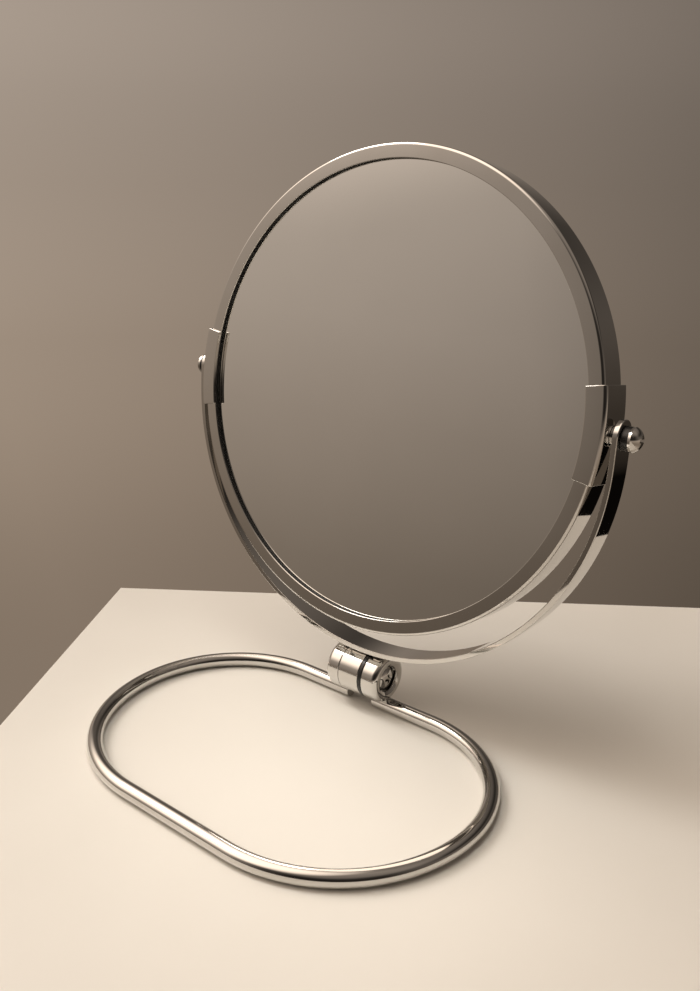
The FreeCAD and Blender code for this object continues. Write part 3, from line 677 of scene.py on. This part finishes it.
def buildSurroundings():
    world = bpy.data.worlds.new("softRoom")
    bpy.context.scene.world = world
    world.use_nodes = True
    nodes, links = world.node_tree.nodes, world.node_tree.links
    where = nodes.new("ShaderNodeTexCoord")

    def joined(operation, values):
        result = values[0]
        for value in values[1:]:
            node = nodes.new("ShaderNodeMath")
            node.operation = operation
            for socket, part in zip(node.inputs, (result, value)):
                if isinstance(part, (int, float)):
                    socket.default_value = part
                else:
                    links.new(part, socket)
            result = node.outputs[0]
        return result

    def times(*values):
        return joined("MULTIPLY", values)

    def plus(*values):
        return joined("ADD", values)

    def changed(value, numbers, soft=False):
        node = nodes.new("ShaderNodeMapRange")
        node.interpolation_type = "SMOOTHSTEP" if soft else "LINEAR"
        for socket, number in zip(("From Min", "From Max", "To Min", "To Max"), numbers):
            node.inputs[socket].default_value = number
        links.new(value, node.inputs["Value"])
        return node.outputs["Result"]

    def towards(direction):
        node = nodes.new("ShaderNodeVectorMath")
        node.operation = "DOT_PRODUCT"
        node.inputs[1].default_value = Vector(direction).normalized()
        links.new(where.outputs["Generated"], node.inputs[0])
        return node.outputs["Value"]

    rightward, backward, upward = towards((1, 0, 0)), towards((0, 1, 0)), towards((0, 0, 1))

    height = nodes.new("ShaderNodeValToRGB")
    ramp = height.color_ramp
    ramp.interpolation = "B_SPLINE"
    for index, (level, light) in enumerate(roomSizes["heights"]):
        spot = (level + 1) / 2
        stop = ramp.elements[index] if index < 2 else ramp.elements.new(spot)
        stop.position = spot
        neutral = min(light / roomSizes["neutral"], 1)
        green, blue = (least + more * neutral for least, more in (roomSizes["green"], roomSizes["blue"]))
        stop.color = (light, light * green, light * blue, 1)
    links.new(changed(upward, (-1, 1, 0, 1)), height.inputs["Fac"])

    left = plus(changed(rightward, roomLight["left"]), changed(rightward, roomLight["farRight"]))
    back = changed(backward, roomLight["back"])
    dim = changed(towards(roomSizes["dimSide"]), roomLight["dim"])
    # the wall is brighter low on the left, darker high up, and darkest low on the right
    wallLow = times(changed(upward, roomLight["wallLow"], True), changed(backward, roomLight["wallLowBack"]),
                    changed(rightward, roomLight["wallLowLeft"]))
    wallHigh = times(changed(upward, roomLight["wallHigh"], True),
                     changed(backward, roomLight["wallHighBack"]))
    gap = times(changed(rightward, roomLight["gapRight"]), changed(upward, roomLight["gapLow"]),
                changed(backward, roomLight["gapBack"]))
    wall = times(plus(wallLow, wallHigh, 1), plus(gap, 1))
    # light that is added on top: a glow high on the left, the low front and right, and overhead
    glow = changed(towards(roomSizes["glowSide"]), roomLight["glow"], True)
    lowFront = times(changed(upward, roomLight["frontLow"], True),
                     changed(rightward, roomLight["frontRight"]), changed(backward, roomLight["frontFar"]))
    overhead = changed(upward, roomLight["overhead"], True)
    strength = plus(times(left, back, dim, wall), glow, lowFront, overhead)
    links.new(height.outputs["Color"], nodes["Background"].inputs["Color"])
    links.new(strength, nodes["Background"].inputs["Strength"])


# places and widths in metres, power in watts, spread in degrees
lampSizes = {"spot": (-1.50, -0.45, 1.80), "wide": 0.95, "power": 18.0, "spread": 180,
             "colour": (1.0, 0.985, 0.95)}
fillSizes = {"spot": (0.03, -0.035, 0.42), "wide": 0.14, "power": 0.032, "spread": 44,
             "colour": (1.0, 0.98, 0.92)}
# place, near and far in metres, angles in degrees, lens in millimetres
cameraSizes = {"spot": (0.21122, -0.22322, 0.20385), "yaw": -38.86, "pitch": -18.16, "roll": 0.65,
               "lens": 34.46, "near": 0.01, "far": 20}


# A round soft lamp that faces the frame's origin. The camera doesn't see it.
def buildLamp(name, sizes):
    light = bpy.data.lights.new(name, "AREA")
    light.shape = "DISK"
    light.size = sizes["wide"]
    light.spread = math.radians(sizes["spread"])
    light.energy = sizes["power"]
    light.color = sizes["colour"]
    lamp = bpy.data.objects.new(name, light)
    bpy.context.scene.collection.objects.link(lamp)
    lamp.location = sizes["spot"]
    lamp.rotation_euler = (-Vector(sizes["spot"])).to_track_quat("-Z", "Y").to_euler()
    lamp.visible_camera = False
    return lamp


def buildCamera():
    yaw, pitch, roll = (math.radians(cameraSizes[word]) for word in ("yaw", "pitch", "roll"))
    forward = Vector((math.sin(yaw) * math.cos(pitch), math.cos(yaw) * math.cos(pitch), math.sin(pitch)))
    level = Vector((math.cos(yaw), -math.sin(yaw), 0))
    over = level.cross(forward)
    right = level * math.cos(roll) + over * math.sin(roll)
    up = over * math.cos(roll) - level * math.sin(roll)
    turn = Matrix((right, up, -forward)).transposed().to_4x4()
    view = bpy.data.cameras.new("camera")
    view.lens = cameraSizes["lens"]
    view.clip_start = cameraSizes["near"]
    view.clip_end = cameraSizes["far"]
    camera = bpy.data.objects.new("camera", view)
    bpy.context.scene.collection.objects.link(camera)
    camera.matrix_world = Matrix.Translation(cameraSizes["spot"]) @ turn
    bpy.context.scene.camera = camera


buildTable()
buildSurroundings()
buildLamp("softLamp", lampSizes)
buildLamp("nearFill", fillSizes).visible_glossy = False  # lights the table but isn't mirrored
buildCamera()
bpy.context.scene.view_settings.view_transform = "Standard"
print("scene lit")
